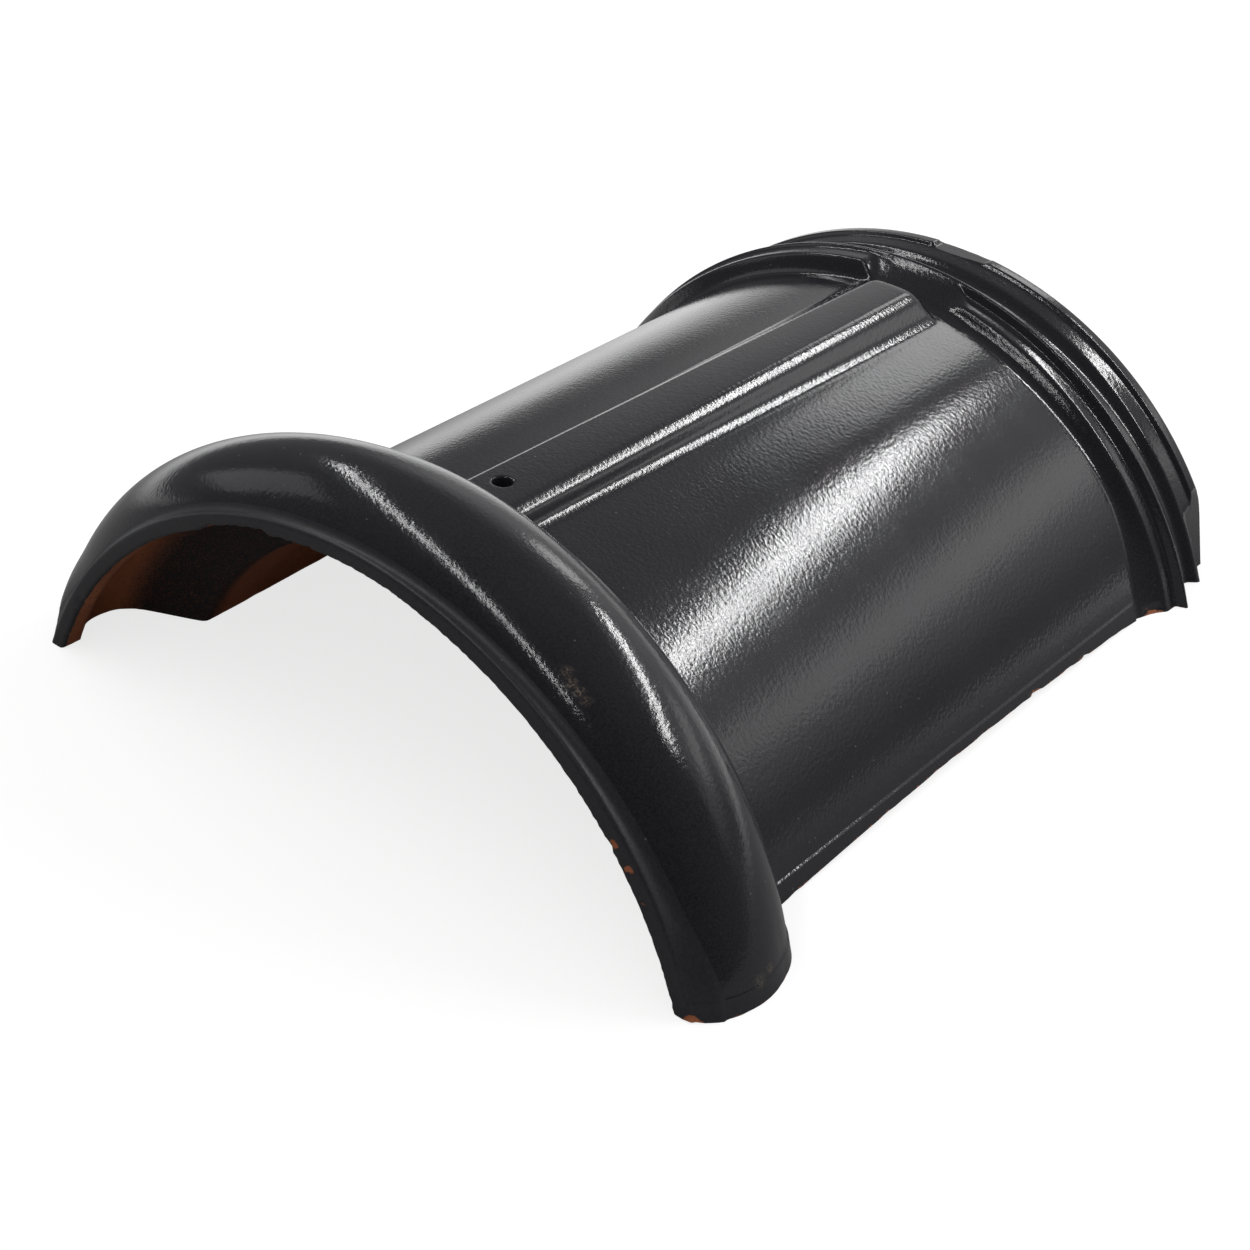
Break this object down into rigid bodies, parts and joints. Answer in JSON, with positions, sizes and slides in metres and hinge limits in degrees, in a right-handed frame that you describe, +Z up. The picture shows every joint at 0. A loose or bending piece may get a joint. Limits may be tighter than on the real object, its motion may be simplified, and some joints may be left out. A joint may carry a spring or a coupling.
{
  "type": "half round ridge tile",
  "caption": "Fired clay ridge tile of low arched section, black engobed, with a hollow roll at one end, a crown band with a nail hole, and a storm rib and stepped rim at the other.",
  "frame": {"origin": "middle of the tile's plan, on the plane of its feet", "axes": "+X across the ridge, +Y along the ridge from the roll to the stepped rim, +Z up"},
  "size_m": [0.2554, 0.296, 0.0975],
  "materials": {
    "engobed_clay": "satin gloss"
  },
  "bodies": {
    "root": {"ridge_tile": "engobed_clay"}
  },
  "joints": []
}
